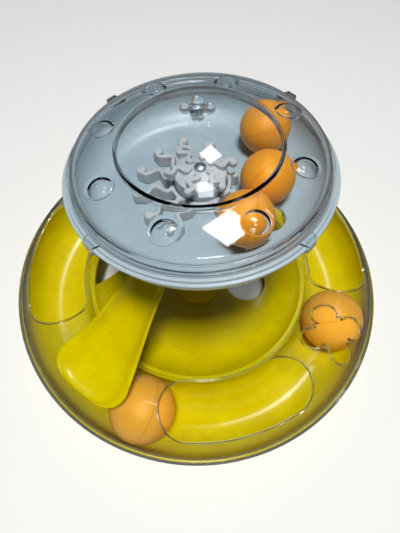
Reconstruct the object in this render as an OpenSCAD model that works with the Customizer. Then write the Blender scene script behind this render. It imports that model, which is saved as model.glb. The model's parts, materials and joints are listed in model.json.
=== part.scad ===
// Two-tier treat dispensing toy: ball track, centre dish, chute and spinning treat saucer

/* [Track] */
// Outer diameter of the base
base_d = 240; // [240:1:246]
// Radius of the circle that the track balls run on
track_r = 95.4; // [95:0.1:96]
// Diameter of a track ball
track_ball_d = 40; // [38:0.5:40]
// Wall of the yellow mouldings
wall = 2; // [1.8:0.1:2.2]
// Wall of the clear cover
cover_wall = 1.7; // [1.5:0.1:1.8]
// Radius of the channel inside the trough
channel_r = 21.3; // [21.2:0.1:21.6]
// Height at which the cover sits on the trough
seat_z = 28.6; // [28:0.1:29]

/* [Cover openings] */
// Width of a kidney opening
kidney_w = 34; // [30:0.5:34]
// Angle from end to end of a kidney opening
kidney_span = 55.5; // [40:0.5:56]
// Angle from the chute to the near end of the first kidney
kidney_gap = 24.3; // [24:0.1:26]
// Angle from the chute to the middle of a clover
clover_angle = 97.1; // [96:0.1:98]
// Distance of a clover's lobes from its middle
clover_reach = 12.1; // [10:0.1:12.5]
// Radius of a clover lobe
lobe_r = 7; // [6:0.1:7.2]

/* [Dish and post] */
// Height of the dish floor
dish_z = 13.5; // [13:0.5:15]
// Radius of the curve from the dish floor to its rim
dish_curve = 30; // [30:0.5:30.5]
// Diameter of the two round holes in the dish
dish_hole_d = 28; // [20:1:28]
// Distance of the straight edge of the side window from the middle
window_offset = 49.5; // [48:0.5:56]
// Radius of the post
post_r = 8; // [7:0.5:8.5]
// Radius of the ball on top of the post
pivot_r = 7; // [6.9:0.05:7]
// Height of the middle of that ball
pivot_z = 119.5; // [119:0.5:122]

/* [Chute] */
// Direction in which the chute runs out
chute_az = 234.6; // [230:0.1:240]
// Distance of the chute's upper end from the middle
chute_start = 26; // [25:0.5:27]
// Distance of the chute's tip from the middle
chute_end = 106.5; // [105:0.5:108]
// Half width at the upper end
chute_head_w = 9; // [8:0.1:9.2]
// Half width where the chute is widest
chute_mouth_w = 25.5; // [22:0.5:27]
// Wall of the chute
chute_wall = 1.7; // [1.5:0.1:1.8]

/* [Saucer] */
// Radius of the saucer's lower lip
saucer_r = 62.8; // [62.5:0.1:63.5]
// Height of the lid's seat above the pivot
rim_h = 18; // [18:0.5:19]
// Lean of the saucer on its pivot
lean = 4.6; // [0:0.1:4.6]
// Direction towards which the saucer leans
lean_az = 136.6; // [0:0.1:360]
// Radius of the dome's foot on the lid
dome_foot_r = 36.9; // [36:0.1:37.5]
// Height of the dome's top above the lid's seat
dome_rise = 25; // [24:0.5:27]
// Wall of the clear lid
lid_wall = 1.8; // [1.6:0.1:2]
// Number of round lenses on the lid
lens_count = 8; // [4:1:10]
// Diameter of a lens
lens_d = 13; // [8:0.5:13]
// Diameter of a ball inside the saucer
saucer_ball_d = 25; // [20:0.5:25]
// Diameter of the treat outlet in the saucer floor
outlet_d = 16; // [12:0.5:16]

/* [Hidden] */
$fn = 96;

yellow = "#d6c800";
orange = "#f0a032";
clear = [0.85, 0.9, 0.92, 0.35];
pale = "#d5dee2";
steel = "#b8bcc0";
rubber = "#3a3a3c";

running_gap = 0.05;
rest_gap = 0.3;
bite = 1;
eps = 0.01;
far = 200;

// Track section
pad_h = 1.5;
channel_z = pad_h + wall + channel_r;
trough_r = channel_r + wall;
lip_t = 1.6;
lip_bite = 0.4;
inner_top_z = seat_z - lip_t;
track_ball_z = channel_z - channel_r + rest_gap + track_ball_d / 2;
track_ball_az = [252.5, 342.7];
ball_wall = 1.2;
pad_r = 6.5;
pad_chamfer = 0.6;
pad_count = 6;
pad_boss_r = pad_r + 1;
pad_boss_h = wall - 0.1;

// Cover section, with a skirt that hooks over the trough's outer edge
skirt_gap = 0.2;
skirt_drop = 3;
skirt_r = track_r + trough_r + skirt_gap;
cover_z = channel_z - rest_gap;
cover_r = channel_r + cover_wall;
cover_inner_r = 71.6;
kidney_mid_r = 92.3;
kidney_swell = 0.2;
clover_mid_r = 94.4;
clover_core = 2 * clover_reach - lobe_r - 1;

// Dish section
dish_floor_r = 45;
dish_rim_r = 71.8;
dish_lip_r = track_r - channel_r - 0.2;
window_r = dish_rim_r - 1.6;
boss_r = 16.5;
boss_z = dish_z + 2;
dish_hole_at = [-21.6, 27.5];
screw_circle_r = 12;
screw_count = 3;
screw_r = 1.5;
screw_head_r = 2.8;
screw_head_h = 1.7;
screw_grip = 2;

// Post
foot_t = 2;
foot_curve = 14;
head_t = 2;
head_r = 13.2;
head_curve = 9;
shoulder_z = pivot_z - 6.4;
neck_r = 4.2;
cradle_gap = 0.08;
cradle_t = 2;
cradle_floor = 3;
cradle_lip = 0.5;
cradle_end = 36;
arm_w = 6;
arm_z = 68;
arm_h = 22;

// Chute
chute_tip_z = 50.9;
chute_steep = 0.0092;
chute_widest = 93;
chute_stations = 26;
chute_strips = 12;

// Saucer, measured from the pivot along its own axis
floor_h = -0.3;
bowl_t = 2;
rim_lip_t = 1.2;
rim_step_h = 1.4;
rim_step_w = 2.3;
cap_gap = 0.5;
bowl_r = 59;
bowl_curve = 15;
bush_r = 10;
bush_top = 12;
bush_bottom = -5;
hub_r = 12.5;
thrust_gap = 0.2;
cap_t = 3;
cap_curve = 40;
cap_grip = 3.5;
lid_seat = rim_h + 0.1;
dome_foot_h = rim_h + 11.3;
dome_top = rim_h + dome_rise;
step_h = 2.6;
step_in = 2.3;
dome_edge_r = dome_foot_r - step_in;
dome_sag = dome_top - dome_foot_h - step_h;
dome_curve = (pow(dome_edge_r, 2) + pow(dome_sag, 2)) / (2 * dome_sag);
slope_r = 172;
slope_start = 7.5;
slope_at = [dome_foot_r - slope_r * sin(slope_start), dome_foot_h - slope_r * cos(slope_start)];
shoulder_r = 57.8;
shoulder_round = 4;
shoulder_mid = shoulder_r - shoulder_round;
lens_circle_r = 46.2;
lens_rise = 1.8;
lens_foot = 0.6;
lens_hollow_r = 8;
lens_first = 31;
clip_count = 4;
clip_first = 47;
clip_w = 11;
clip_t = 1.6;
clip_taper = 1.8;
clip_r = saucer_r + 2 * rest_gap + clip_t;
clip_drop = 4;
flange_r = 60;
flange_t = 2;
spigot_h = 3;
saucer_ball_h = floor_h + rest_gap + saucer_ball_d / 2;
outlet_at = [36, -27];
saucer_ball_at = [[43, 44], [31, -6], [34, -52.5]];
knob_mid_h = 4.3;
knob_core_r = 3.3;
knob_side_r = 2.2;
knob_side_reach = 4.9;
knob_end_r = 2.9;
knob_end_reach = 3.1;
knob_stem_r = 2.6;

// Maze in the saucer: long ribs away from the balls, short ones beside them
rib_w = 2.2;
rib_h = 7;
long_rib = 17;
long_wave = 2.2;
long_tip = 2.6;
long_count = 6;
long_first = 110;
long_step = 28;
short_rib = 3.6;
short_wave = 0;
short_tip = 1.7;
short_count = 4;
short_first = -60;
short_step = 38;

// Height of the chute's side edges at distance r from the middle
function chute_edge_z(r) = chute_tip_z + chute_steep * pow(chute_end - r, 2);

// How far the chute's edges stand above its floor
function chute_edge_h(r) = 5 - 3.5 * (r - chute_start) / (chute_end - chute_start);

// Half width of the chute: a slow flare, then a rounded tip
function chute_half_w(r) = r < chute_widest
    ? chute_head_w + (chute_mouth_w - chute_head_w)
        * pow((r - chute_start) / (chute_widest - chute_start), 1.3)
    : chute_mouth_w * pow(1 - pow((r - chute_widest) / (chute_end - chute_widest), 2.2), 1 / 2.2);

// Distance of station k from the middle: even steps, closing up towards the tip
function chute_station(k) = chute_start
    + (chute_end - 0.05 - chute_start) * sin(90 * pow(k / chute_stations, 0.85));

// Point of the chute's upper face at station k and strip j
function chute_point(k, j) =
    let (r = chute_station(k), s = 2 * j / chute_strips - 1)
    [r, chute_half_w(r) * s, chute_edge_z(r) - chute_edge_h(r) * (1 - pow(abs(s), 4))];

// Upright thickness that gives the chute its wall at distance r
function chute_drop(r) = chute_wall * sqrt(1 + pow(2 * chute_steep * (chute_end - r), 2));

// Puts a piece of the saucer on its leaning axis
module on_saucer() {
    translate([0, 0, pivot_z])
        rotate(a = lean, v = [-sin(lean_az), cos(lean_az), 0])
            children();
}

// Section of the track's tube between two radii
module tube_section(r_out, r_in, z) {
    translate([track_r, z])
        difference() {
            circle(r = r_out);
            circle(r = r_in);
        }
}

module track_trough() {
    color(yellow) {
        rotate_extrude()
            intersection() {
                tube_section(trough_r, channel_r, channel_z);
                union() {
                    translate([track_r - far, 0])
                        square([far, inner_top_z]);
                    translate([track_r - eps, 0])
                        square([far, seat_z]);
                }
            }
        for (i = [0 : pad_count - 1])
            rotate(i * 360 / pad_count)
                translate([track_r, 0, pad_h])
                    cylinder(r = pad_boss_r, h = pad_boss_h);
    }
}

// Kidney opening in plan, its middle on the X axis
module kidney() {
    half = kidney_span / 2 - asin(kidney_w / 2 / kidney_mid_r);
    intersection() {
        difference() {
            circle(r = kidney_mid_r + kidney_w / 2);
            circle(r = kidney_mid_r - kidney_w / 2);
        }
        polygon([[0, 0], far * [cos(half), -sin(half)], far * [cos(half), sin(half)]]);
    }
    for (side = [-1, 1])
        rotate(side * half)
            translate([kidney_mid_r, 0])
                circle(r = kidney_w / 2 + kidney_swell);
}

// Clover opening in plan, its middle on the X axis
module clover() {
    translate([clover_mid_r, 0]) {
        for (i = [0 : 3])
            rotate(45 + 90 * i)
                translate([clover_reach, 0])
                    circle(r = lobe_r);
        rotate(45)
            square(clover_core, center = true);
    }
}

module track_cover() {
    first_mid = kidney_gap + kidney_span / 2;
    second_mid = 2 * clover_angle - first_mid;
    color(clear) difference() {
        rotate_extrude() {
            intersection() {
                tube_section(cover_r, channel_r, cover_z);
                translate([track_r - far / 2, seat_z])
                    square(far);
            }
            // flat lips over the trough and the dish, and the skirt
            translate([track_r + channel_r + lip_bite, seat_z])
                square([base_d / 2 - track_r - channel_r - lip_bite, lip_t]);
            translate([skirt_r, seat_z - skirt_drop])
                square([base_d / 2 - skirt_r, skirt_drop + bite]);
            translate([cover_inner_r, seat_z])
                square([track_r - channel_r - lip_bite - cover_inner_r, lip_t]);
        }
        translate([0, 0, seat_z + lip_t])
            linear_extrude(cover_r)
                rotate(chute_az)
                    for (side = [-1, 1]) {
                        rotate(side * first_mid)
                            kidney();
                        rotate(side * second_mid)
                            kidney();
                        rotate(side * clover_angle)
                            clover();
                    }
    }
}

module centre_dish() {
    curve_z = dish_z + dish_curve;
    color(yellow) difference() {
        union() {
            rotate_extrude() {
                intersection() {
                    difference() {
                        union() {
                            translate([dish_floor_r, curve_z])
                                circle(r = dish_curve + wall);
                            translate([0, dish_z - wall])
                                square([dish_floor_r, far]);
                        }
                        translate([dish_floor_r, curve_z])
                            circle(r = dish_curve);
                        translate([-bite, dish_z])
                            square([dish_floor_r + bite, far]);
                    }
                    square([dish_rim_r, seat_z]);
                }
                // lip that rests on the trough's inner edge
                translate([dish_rim_r - bite, inner_top_z])
                    square([dish_lip_r - dish_rim_r + bite, lip_t]);
            }
            translate([0, 0, dish_z - wall])
                cylinder(r = boss_r, h = boss_z - dish_z + wall);
        }
        for (i = [0 : screw_count - 1])
            rotate(chute_az + 180 + i * 360 / screw_count)
                translate([screw_circle_r, 0, 0])
                    cylinder(r = screw_r + running_gap, h = far);
        rotate(chute_az) {
            for (side = [-1, 1])
                translate([dish_hole_at[0], side * dish_hole_at[1], 0])
                    cylinder(d = dish_hole_d, h = far);
            linear_extrude(far)
                intersection() {
                    circle(r = window_r);
                    translate([-far, -far - window_offset])
                        square([2 * far, far]);
                }
        }
    }
}

// Cradle on the post that holds the chute's upper end
module chute_cradle() {
    half = chute_half_w(cradle_end) + rest_gap;
    steps = 6;
    along = [for (i = [0 : steps]) chute_start + (cradle_end - chute_start) * i / steps];
    under = [for (r = along) [r, chute_edge_z(r) - chute_edge_h(r) - chute_drop(r) - cradle_gap]];
    edge = [for (r = along) [r, chute_edge_z(r) - cradle_lip]];
    lower = [for (i = [steps : -1 : 0]) under[i] - [0, cradle_floor]];
    rotate([90, 0, 0]) {
        linear_extrude(2 * half + 2 * cradle_t, center = true)
            polygon(concat(under, lower));
        for (side = [-1, 1])
            translate([0, 0, side * (half + cradle_t / 2)])
                linear_extrude(cradle_t, center = true)
                    polygon(concat(edge, lower));
        linear_extrude(arm_w, center = true)
            polygon([[post_r - bite, arm_z], [post_r - bite, arm_z + arm_h], lower[steps], lower[0]]);
    }
}

module pedestal() {
    color(yellow) difference() {
        union() {
            rotate_extrude() {
                difference() {
                    translate([0, boss_z])
                        square([boss_r, foot_curve + foot_t]);
                    translate([post_r + foot_curve, boss_z + foot_t + foot_curve])
                        circle(r = foot_curve);
                }
                translate([0, boss_z + foot_curve])
                    square([post_r, shoulder_z - boss_z - foot_curve]);
                difference() {
                    translate([0, shoulder_z - head_curve - head_t])
                        square([head_r, head_curve + head_t]);
                    translate([post_r + head_curve, shoulder_z - head_curve - head_t])
                        circle(r = head_curve);
                }
            }
            translate([0, 0, shoulder_z - bite])
                cylinder(r = neck_r, h = pivot_z - shoulder_z + bite);
            translate([0, 0, pivot_z])
                sphere(r = pivot_r);
            rotate(chute_az)
                chute_cradle();
        }
        for (i = [0 : screw_count - 1])
            rotate(chute_az + 180 + i * 360 / screw_count)
                translate([screw_circle_r, 0, boss_z - bite])
                    cylinder(r = screw_r - running_gap, h = screw_grip + 2 * bite);
    }
}

module treat_chute() {
    n = chute_stations;
    m = chute_strips;
    row = m + 1;
    count = (n + 1) * row;
    upper = [for (k = [0 : n], j = [0 : m]) chute_point(k, j)];
    lower = [for (p = upper) p - [0, 0, chute_drop(p[0])]];
    top_faces = [for (k = [0 : n - 1], j = [0 : m - 1], half = [0, 1])
        let (a = k * row + j, b = a + row)
        half == 0 ? [a, b + 1, b] : [a, a + 1, b + 1]];
    side_faces = [for (k = [0 : n - 1], side = [0, m], half = [0, 1])
        let (a = k * row + side, b = a + row)
        let (quad = half == 0 ? [a, b, b + count] : [a, b + count, a + count])
        side == 0 ? quad : [quad[2], quad[1], quad[0]]];
    end_faces = [for (j = [0 : m - 1], end = [0, n], half = [0, 1])
        let (a = end * row + j, b = a + 1)
        let (quad = half == 0 ? [a, a + count, b + count] : [a, b + count, b])
        end == 0 ? quad : [quad[2], quad[1], quad[0]]];
    bottom_faces = [for (f = top_faces) [f[2] + count, f[1] + count, f[0] + count]];
    color(yellow)
        rotate(chute_az)
            polyhedron(concat(upper, lower), concat(top_faces, bottom_faces, side_faces, end_faces));
}

module foot_pads() {
    color(rubber)
        for (i = [0 : pad_count - 1])
            rotate(i * 360 / pad_count)
                translate([track_r, 0, 0]) {
                    cylinder(r1 = pad_r - pad_chamfer, r2 = pad_r, h = pad_chamfer);
                    translate([0, 0, pad_chamfer])
                        cylinder(r = pad_r, h = pad_h - pad_chamfer);
                }
}

module pedestal_screws() {
    color(steel)
        for (i = [0 : screw_count - 1])
            rotate(chute_az + 180 + i * 360 / screw_count)
                translate([screw_circle_r, 0, 0]) {
                    translate([0, 0, dish_z - wall - screw_head_h])
                        cylinder(r = screw_head_r, h = screw_head_h);
                    translate([0, 0, dish_z - wall])
                        cylinder(r = screw_r, h = boss_z - dish_z + wall + screw_grip);
                }
}

module pivot_bush() {
    color(pale) on_saucer()
        difference() {
            union() {
                translate([0, 0, bush_bottom])
                    cylinder(r = bush_r, h = bush_top - bush_bottom);
                translate([0, 0, bush_bottom])
                    cylinder(r = head_r, h = floor_h - bowl_t - thrust_gap - bush_bottom);
            }
            sphere(r = pivot_r + running_gap);
            translate([0, 0, bush_top - cap_grip - bite / 2])
                cylinder(r = screw_r - running_gap, h = far);
        }
}

module hub_cap() {
    color(pale) on_saucer()
        rotate_extrude()
            difference() {
                intersection() {
                    translate([0, bush_top])
                        square([hub_r, cap_t]);
                    translate([0, bush_top + cap_t - cap_curve])
                        circle(r = cap_curve);
                }
                translate([0, bush_top - bite])
                    square([screw_r + running_gap, far]);
            }
}

module cap_screw() {
    color(steel) on_saucer() {
        translate([0, 0, bush_top - cap_grip])
            cylinder(r = screw_r, h = cap_grip + cap_t);
        translate([0, 0, bush_top + cap_t])
            cylinder(r = screw_head_r, h = screw_head_h);
    }
}

module saucer_bowl() {
    curve_at = [bowl_r - bowl_curve, floor_h + bowl_curve];
    color(pale) on_saucer()
        difference() {
            rotate_extrude() {
                // curved wall and floor
                difference() {
                    union() {
                        intersection() {
                            translate(curve_at)
                                circle(r = bowl_curve + bowl_t);
                            translate([curve_at[0], floor_h - bowl_t])
                                square([far, curve_at[1] - floor_h + bowl_t]);
                        }
                        translate([0, floor_h - bowl_t])
                            square([curve_at[0], bowl_t]);
                        translate([curve_at[0], curve_at[1]])
                            square([bowl_curve + bowl_t, rim_h - curve_at[1]]);
                    }
                    translate(curve_at)
                        circle(r = bowl_curve);
                    translate([curve_at[0], curve_at[1]])
                        square([bowl_curve, far]);
                }
                // stepped rim
                translate([bowl_r, rim_h - rim_step_h - rim_lip_t])
                    square([saucer_r - bowl_r, rim_lip_t]);
                translate([bowl_r, rim_h - rim_step_h - eps])
                    square([rim_step_w, rim_step_h + eps]);
                // hub
                translate([0, floor_h - bowl_t])
                    square([hub_r, bush_top - cap_gap - floor_h + bowl_t]);
            }
            translate([0, 0, -far / 2])
                cylinder(r = bush_r + running_gap, h = far);
            rotate(outlet_at[1])
                translate([outlet_at[0], 0, -far / 2])
                    cylinder(d = outlet_d, h = far);
        }
}

// Wavy rib of the maze in plan, running out along the X axis to a round tip
module wavy_rib(length, wave, tip_r) {
    steps = 14;
    start = hub_r + bite;
    mid = [for (i = [0 : steps]) [start + length * i / steps, wave * sin(540 * i / steps)]];
    polygon(concat([for (p = mid) p + [0, rib_w / 2]],
                   [for (i = [steps : -1 : 0]) mid[i] - [0, rib_w / 2]]));
    translate(mid[steps])
        circle(r = tip_r);
}

module treat_maze() {
    color(pale) on_saucer()
        translate([0, 0, floor_h])
            difference() {
                union() {
                    cylinder(r = hub_r + rib_w, h = rib_h);
                    for (i = [0 : long_count - 1])
                        rotate(long_first + long_step * i)
                            linear_extrude(rib_h)
                                wavy_rib(long_rib, long_wave, long_tip);
                    for (i = [0 : short_count - 1])
                        rotate(short_first + short_step * i)
                            linear_extrude(rib_h)
                                wavy_rib(short_rib, short_wave, short_tip);
                }
                translate([0, 0, -bite])
                    cylinder(r = hub_r + rest_gap, h = far);
            }
}

// Lens on the lid's slope, its foot on the surface
module lens() {
    crown = lens_rise - lens_foot;
    cap_r = (pow(lens_d / 2, 2) + pow(crown, 2)) / (2 * crown);
    rotate_extrude()
        intersection() {
            translate([0, -bite])
                square([lens_d / 2, lens_rise + bite]);
            translate([0, lens_rise - cap_r])
                circle(r = cap_r);
        }
}

// Height of the lid's sloping part at distance r from its axis
function slope_h(r) = slope_at[1] + sqrt(pow(slope_r, 2) - pow(r - slope_at[0], 2));

// Outline of the lid's shell, moved inwards by t: a bowed slope, its round shoulder, and the dome on a step
module lid_outline(t) {
    shoulder_h = slope_h(shoulder_mid) - shoulder_round + eps;
    step_slope = step_in / step_h;
    step_r = dome_foot_r - t * sqrt(1 + pow(step_slope, 2));
    intersection() {
        translate(slope_at)
            circle(r = slope_r - t, $fn = 360);
        union() {
            square([shoulder_mid, far]);
            square([shoulder_r - t, shoulder_h]);
            translate([shoulder_mid, shoulder_h])
                circle(r = shoulder_round - t);
        }
    }
    intersection() {
        translate([0, dome_top - dome_curve])
            circle(r = dome_curve - t);
        polygon([[0, 0], [step_r + step_slope * dome_foot_h, 0],
                 [step_r - step_slope * (dome_top - dome_foot_h), dome_top], [0, dome_top]]);
    }
}

// Clip in plan, from distance r to its outer face
module clip_plan(r) {
    narrow = clip_taper / (clip_r - bowl_r);
    half = clip_w / 2 - narrow * (r - bowl_r);
    polygon([[r, -half], [clip_r, clip_taper - clip_w / 2], [clip_r, clip_w / 2 - clip_taper], [r, half]]);
}

// Places of the lenses round the lid's slope
module at_lenses() {
    lens_slope = asin((lens_circle_r - slope_at[0]) / slope_r);
    for (i = [0 : lens_count - 1])
        rotate(lens_first + i * 360 / lens_count)
            translate([lens_circle_r, 0, slope_h(lens_circle_r)])
                rotate([0, lens_slope, 0])
                    children();
}

module saucer_lid() {
    color(clear) on_saucer()
        difference() {
            union() {
                rotate_extrude() {
                    intersection() {
                        difference() {
                            lid_outline(0);
                            lid_outline(lid_wall);
                        }
                        translate([0, lid_seat])
                            square([far, far]);
                    }
                    // flange on the bowl's rim and spigot inside it
                    translate([shoulder_r - lid_wall, lid_seat])
                        square([flange_r - shoulder_r + lid_wall, flange_t]);
                    translate([bowl_r - rest_gap - lid_wall, lid_seat - spigot_h])
                        square([lid_wall, spigot_h + bite]);
                }
                at_lenses()
                    lens();
                for (i = [0 : clip_count - 1])
                    rotate(clip_first + i * 360 / clip_count)
                        translate([0, 0, lid_seat]) {
                            linear_extrude(clip_t)
                                clip_plan(bowl_r);
                            translate([0, 0, -clip_drop])
                                linear_extrude(clip_drop + clip_t)
                                    clip_plan(clip_r - clip_t);
                        }
            }
            cylinder(r = knob_stem_r, h = far);
            // the lenses are hollow below
            at_lenses()
                translate([0, 0, lens_rise - lid_wall - lens_hollow_r])
                    sphere(r = lens_hollow_r);
        }
}

module lid_knob() {
    color(clear) on_saucer()
        translate([0, 0, dome_top + knob_mid_h]) {
            sphere(r = knob_core_r);
            for (turn = [0, 180])
                rotate(turn) {
                    translate([knob_side_reach, 0, 0])
                        sphere(r = knob_side_r);
                    translate([0, knob_end_reach, 0])
                        sphere(r = knob_end_r);
                }
            translate([0, 0, -knob_mid_h - lid_wall - bite])
                cylinder(r = knob_stem_r, h = knob_mid_h + lid_wall);
        }
}

module hollow_ball(d) {
    difference() {
        sphere(d = d);
        sphere(d = d - 2 * ball_wall);
    }
}

module track_ball(i) {
    color(orange)
        rotate(track_ball_az[i])
            translate([track_r, 0, track_ball_z])
                hollow_ball(track_ball_d);
}

module track_ball_front() {
    track_ball(0);
}

module track_ball_right() {
    track_ball(1);
}

module saucer_ball(i) {
    color(orange) on_saucer()
        rotate(saucer_ball_at[i][1])
            translate([saucer_ball_at[i][0], 0, saucer_ball_h])
                hollow_ball(saucer_ball_d);
}

module saucer_ball_back() {
    saucer_ball(0);
}

module saucer_ball_middle() {
    saucer_ball(1);
}

module saucer_ball_front() {
    saucer_ball(2);
}

track_trough();
centre_dish();
pedestal();
treat_chute();
track_cover();
foot_pads();
pedestal_screws();
pivot_bush();
hub_cap();
cap_screw();
saucer_bowl();
treat_maze();
saucer_lid();
lid_knob();
track_ball_front();
track_ball_right();
saucer_ball_back();
saucer_ball_middle();
saucer_ball_front();
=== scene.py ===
# Treat dispensing toy: finishes, hand-modelled pieces, studio light and the photograph's view
import json
import math

import bpy
from mathutils import Matrix, Vector


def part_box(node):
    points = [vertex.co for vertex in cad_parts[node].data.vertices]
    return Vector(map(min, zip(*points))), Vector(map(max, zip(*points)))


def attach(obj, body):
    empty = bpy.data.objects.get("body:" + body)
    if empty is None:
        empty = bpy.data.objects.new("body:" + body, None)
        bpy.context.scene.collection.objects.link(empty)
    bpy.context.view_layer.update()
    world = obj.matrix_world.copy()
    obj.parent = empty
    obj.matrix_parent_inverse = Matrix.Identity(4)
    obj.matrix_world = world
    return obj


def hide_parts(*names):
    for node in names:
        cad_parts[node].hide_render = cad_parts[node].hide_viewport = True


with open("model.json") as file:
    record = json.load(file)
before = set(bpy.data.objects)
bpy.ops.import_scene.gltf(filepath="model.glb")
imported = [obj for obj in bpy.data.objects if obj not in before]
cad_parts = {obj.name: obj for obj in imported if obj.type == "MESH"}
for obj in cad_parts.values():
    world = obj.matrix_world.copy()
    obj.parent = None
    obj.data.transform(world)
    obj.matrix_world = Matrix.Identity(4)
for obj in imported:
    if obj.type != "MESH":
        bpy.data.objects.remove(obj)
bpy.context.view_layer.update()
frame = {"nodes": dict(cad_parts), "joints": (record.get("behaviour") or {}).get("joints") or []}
nodes = frame["nodes"]
mm = 0.001
mergeGap = 0.002 * mm   # vertices nearer than this are one
smoothAngle = 32        # degrees, flatter edges are shaded smooth


def linear(hexColour):  # sRGB hex to linear RGBA
    parts = [int(hexColour[i:i + 2], 16) / 255 for i in (1, 3, 5)]
    return [c / 12.92 if c <= 0.04045 else ((c + 0.055) / 1.055) ** 2.4 for c in parts] + [1.0]


def addNode(tree, kind, settings, links):
    node = tree.nodes.new(kind)
    for name, value in settings.items():
        if isinstance(name, str) and hasattr(node, name):
            setattr(node, name, value)
        else:
            node.inputs[name].default_value = value
    for name, source in links.items():
        tree.links.new(source, node.inputs[name])
    return node


def startMaterial(name):
    material = bpy.data.materials.new(name)
    material.use_nodes = True
    tree = material.node_tree
    tree.nodes.clear()
    coords = addNode(tree, "ShaderNodeTexCoord", {}, {}).outputs["Object"]
    return material, tree, coords


def perMetre(sizeMm):  # texture scale whose cells are this many millimetres wide
    return 1000 / sizeMm


# Moulded ABS, coloured through: glossy, deep colour, faint flow marks and a few dark pigment specks
yellowAbs = {
    "colour": "#ddce00",
    "flowColour": "#bfa600",
    "speckColour": "#857000",
    "flowWidth": 15,      # mm, width of a flow mark
    "flowDetail": 6.0,
    "flowTwist": 0.6,
    "speckPitch": 3.6,    # mm between pigment specks
    "speckSize": 0.5,     # mm, radius of the largest speck
    "rippleWidth": 2.4,   # mm, ripple left by the mould's polish
    "rippleDetail": 2.0,
    "rippleDepth": 0.3,   # mm
    "rippleStrength": 0.03,
    "roughness": (0.15, 0.25),
    "ior": 1.53,
}


def makeYellowAbs():
    s = yellowAbs
    material, tree, coords = startMaterial("moulded_abs_yellow")
    flow = addNode(tree, "ShaderNodeTexNoise",
                   {"Scale": perMetre(s["flowWidth"]), "Detail": s["flowDetail"],
                    "Distortion": s["flowTwist"]}, {"Vector": coords})
    flowMix = addNode(tree, "ShaderNodeMix",
                      {"data_type": "RGBA", 6: linear(s["colour"]), 7: linear(s["flowColour"])},
                      {0: flow.outputs["Fac"]})
    cells = addNode(tree, "ShaderNodeTexVoronoi", {"Scale": perMetre(s["speckPitch"])}, {"Vector": coords})
    spread = addNode(tree, "ShaderNodeSeparateColor", {}, {"Color": cells.outputs["Color"]})
    reach = addNode(tree, "ShaderNodeMath", {"operation": "MULTIPLY", 1: s["speckSize"] / s["speckPitch"]},
                    {0: spread.outputs["Red"]})
    speck = addNode(tree, "ShaderNodeMath", {"operation": "LESS_THAN"},
                    {0: cells.outputs["Distance"], 1: reach.outputs[0]})
    faint = addNode(tree, "ShaderNodeMath", {"operation": "MULTIPLY"},
                    {0: speck.outputs[0], 1: spread.outputs["Green"]})
    colour = addNode(tree, "ShaderNodeMix", {"data_type": "RGBA", 7: linear(s["speckColour"])},
                     {0: faint.outputs[0], 6: flowMix.outputs[2]})
    ripple = addNode(tree, "ShaderNodeTexNoise",
                     {"Scale": perMetre(s["rippleWidth"]), "Detail": s["rippleDetail"]}, {"Vector": coords})
    rough = addNode(tree, "ShaderNodeMapRange", {"To Min": s["roughness"][0], "To Max": s["roughness"][1]},
                    {"Value": flow.outputs["Fac"]})
    bump = addNode(tree, "ShaderNodeBump",
                   {"Strength": s["rippleStrength"], "Distance": s["rippleDepth"] * mm},
                   {"Height": ripple.outputs["Fac"]})
    shader = addNode(tree, "ShaderNodeBsdfPrincipled", {"IOR": s["ior"]},
                     {"Base Color": colour.outputs[2], "Roughness": rough.outputs[0],
                      "Normal": bump.outputs[0]})
    addNode(tree, "ShaderNodeOutputMaterial", {}, {"Surface": shader.outputs[0]})
    return material


# Clear polystyrene, moulded and polished: it bends what lies behind it, with faint waves and smudges
clearStyrene = {
    "colour": "#fafcfd",
    "shadowColour": "#f5f8f9",
    "waveWidth": 16,      # mm, waviness of the moulding
    "waveDetail": 1.0,
    "waveDepth": 1.0,     # mm
    "waveStrength": 0.05,
    "smudgeWidth": 22,    # mm, smudges from handling
    "smudgeDetail": 4.0,
    "smudgeRange": (0.45, 0.8),
    "roughness": (0.02, 0.08),   # clean and smudged
    "ior": 1.5,
}


def makeClearStyrene():
    s = clearStyrene
    material, tree, coords = startMaterial("clear_polystyrene")
    smudge = addNode(tree, "ShaderNodeTexNoise",
                     {"Scale": perMetre(s["smudgeWidth"]), "Detail": s["smudgeDetail"]}, {"Vector": coords})
    rough = addNode(tree, "ShaderNodeMapRange",
                    {"From Min": s["smudgeRange"][0], "From Max": s["smudgeRange"][1],
                     "To Min": s["roughness"][0], "To Max": s["roughness"][1]},
                    {"Value": smudge.outputs["Fac"]})
    wave = addNode(tree, "ShaderNodeTexNoise",
                   {"Scale": perMetre(s["waveWidth"]), "Detail": s["waveDetail"]}, {"Vector": coords})
    bump = addNode(tree, "ShaderNodeBump", {"Strength": s["waveStrength"], "Distance": s["waveDepth"] * mm},
                   {"Height": wave.outputs["Fac"]})
    solid = addNode(tree, "ShaderNodeBsdfPrincipled",
                    {"Base Color": linear(s["colour"]), "Transmission Weight": 1.0, "IOR": s["ior"]},
                    {"Roughness": rough.outputs[0], "Normal": bump.outputs[0]})
    through = addNode(tree, "ShaderNodeBsdfTransparent", {"Color": linear(s["shadowColour"])}, {})
    path = addNode(tree, "ShaderNodeLightPath", {}, {})
    # light that falls through the clear wall goes straight on
    falling = addNode(tree, "ShaderNodeMath", {"operation": "MAXIMUM"},
                      {0: path.outputs["Is Shadow Ray"], 1: path.outputs["Is Diffuse Ray"]})
    mix = addNode(tree, "ShaderNodeMixShader", {},
                  {0: falling.outputs[0], 1: solid.outputs[0], 2: through.outputs[0]})
    addNode(tree, "ShaderNodeOutputMaterial", {}, {"Surface": mix.outputs[0]})
    return material


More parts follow.
